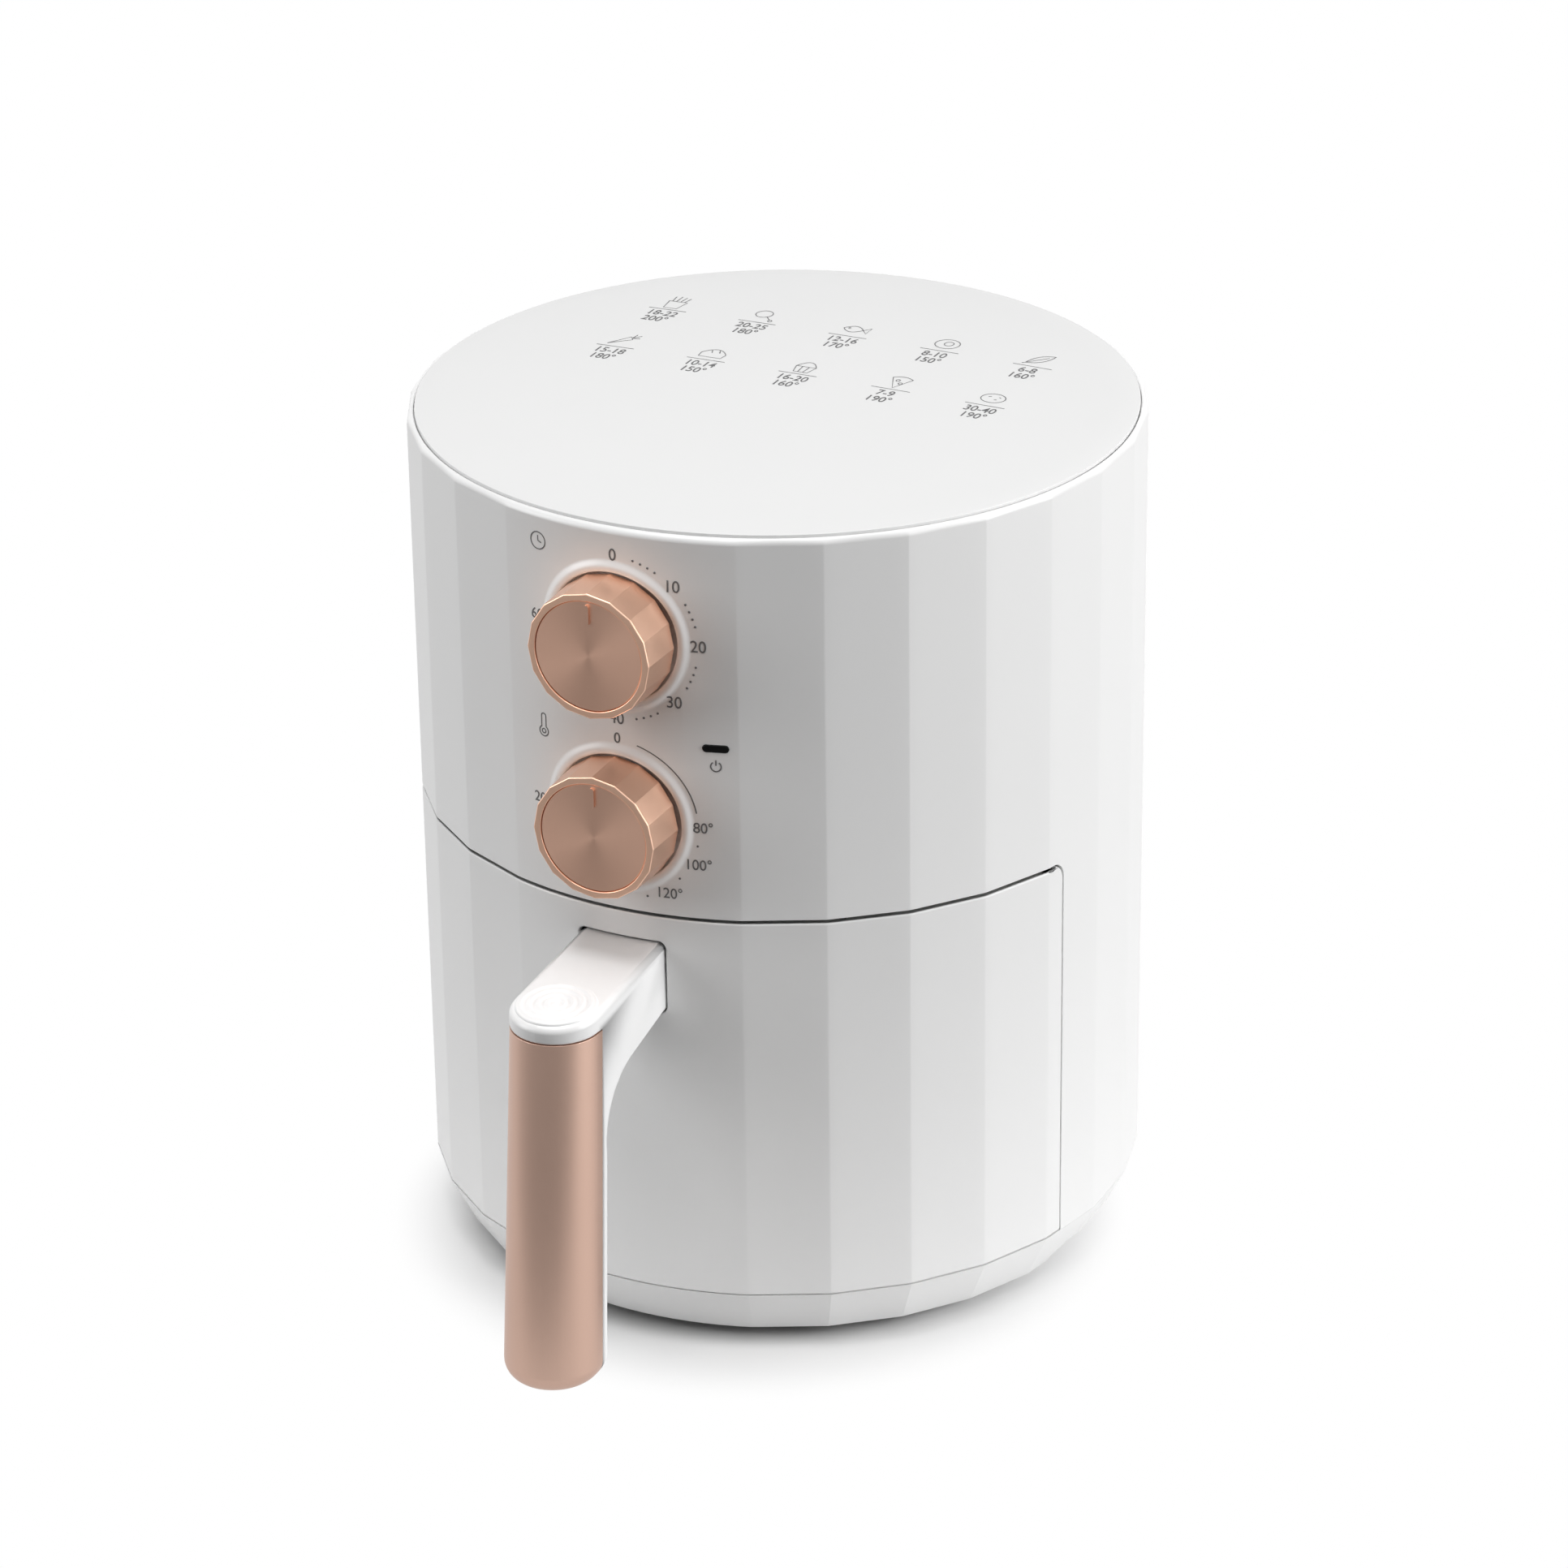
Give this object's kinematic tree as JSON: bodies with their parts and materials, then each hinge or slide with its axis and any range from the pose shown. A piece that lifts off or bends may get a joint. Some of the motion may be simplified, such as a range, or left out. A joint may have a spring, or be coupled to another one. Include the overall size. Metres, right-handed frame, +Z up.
{
  "type": "air fryer with drawer",
  "caption": "Round countertop hot-air fryer with a faceted white shell, dials, and a pull-out pan drawer on an upright half-round handle.",
  "frame": {"origin": "on the counter, under the middle of the closed fryer's box, handle included", "axes": "+Z up, the dials and the handle face -Y, +X to the right of someone facing the handle"},
  "size_m": [0.2584, 0.3372, 0.3124],
  "materials": {
    "white_plastic": "satin moulded white",
    "grey_plastic": "matt heat-resistant moulding",
    "rose_metal": "satin rose gold",
    "rose_brushed": "circular brushed rose gold",
    "black_rubber": "matt",
    "silicone": "matt",
    "pan_coating": "speckled non-stick coating",
    "sheet_steel": "aluminised sheet",
    "bright_steel": "plated",
    "heater_tube": "heat-darkened sheath",
    "lamination": "stacked lamination",
    "copper_wire": "enamelled wire",
    "fan_aluminium": "pressed sheet",
    "black_plastic": "matt moulding",
    "fuse_shell": "plain",
    "dark_lens": "dark smoked window"
  },
  "bodies": {
    "housing": {"housing": "white_plastic", "top_cover": "white_plastic", "base": "white_plastic", "rubber_feet": "black_rubber", "base_screws": "bright_steel", "chamber_floor": "sheet_steel", "chamber_liner": "sheet_steel", "heat_shield": "sheet_steel", "heating_element": "heater_tube", "element_clips": "sheet_steel", "heater_guard": "sheet_steel", "motor_spacers": "bright_steel", "motor_plate": "sheet_steel", "motor_core": "lamination", "motor_coil": "copper_wire", "motor_brackets": "sheet_steel", "rear_grille": "grey_plastic", "exhaust_duct": "sheet_steel", "cord_gland": "black_rubber", "terminal_block": "black_plastic", "thermal_fuse": "fuse_shell", "microswitch": "black_plastic", "timer_mechanism": "black_plastic", "thermostat": "black_plastic", "control_screws": "bright_steel", "indicator_lens": "dark_lens", "indicator_lamp": "black_plastic"},
    "rotor": {"motor_shaft": "bright_steel", "motor_rotor": "lamination", "hot_air_fan": "fan_aluminium", "fan_nut": "bright_steel", "cooling_fan": "black_plastic"},
    "timer_dial": {"timer_knob": "rose_metal", "timer_knob_cap": "rose_brushed", "timer_shaft": "bright_steel"},
    "temperature_dial": {"temperature_knob": "rose_metal", "temperature_knob_cap": "rose_brushed", "temperature_shaft": "bright_steel"},
    "plunger": {"interlock_plunger": "black_plastic"},
    "drawer": {"drawer_front": "white_plastic", "drawer_back": "grey_plastic", "pan": "pan_coating", "pan_bracket": "sheet_steel", "pan_rivets": "bright_steel", "handle_screws": "bright_steel", "handle_body": "white_plastic", "grip_cover": "rose_metal"},
    "crisper": {"crisper_plate": "pan_coating", "plate_bumpers": "silicone"}
  },
  "joints": [
    {"name": "drawer_slide", "type": "slide", "parent": "housing", "child": "drawer", "axis": [0, -1, 0], "range_m": [0, 0.26]},
    {"name": "crisper_lift", "type": "slide", "parent": "drawer", "child": "crisper", "axis": [0, 0, 1], "range_m": [0, 0.1]},
    {"name": "timer_turn", "type": "hinge", "parent": "housing", "child": "timer_dial", "pos_m": [0, -0.10356, 0.2702], "axis": [0, 1, 0], "range_deg": [0, 280]},
    {"name": "temperature_turn", "type": "hinge", "parent": "housing", "child": "temperature_dial", "pos_m": [0, -0.10356, 0.2032], "axis": [0, 1, 0], "range_deg": [0, 275]},
    {"name": "rotor_spin", "type": "hinge", "parent": "housing", "child": "rotor", "pos_m": [0, 0.03644, 0.24], "axis": [0, 0, 1], "continuous": true},
    {"name": "plunger_drop", "type": "slide", "parent": "housing", "child": "plunger", "axis": [0, 0, -1], "range_m": [0, 0.0026]}
  ],
  "couplings": [
    {"joint": "plunger_drop", "follows": "drawer_slide", "ratio": 0.01}
  ]
}
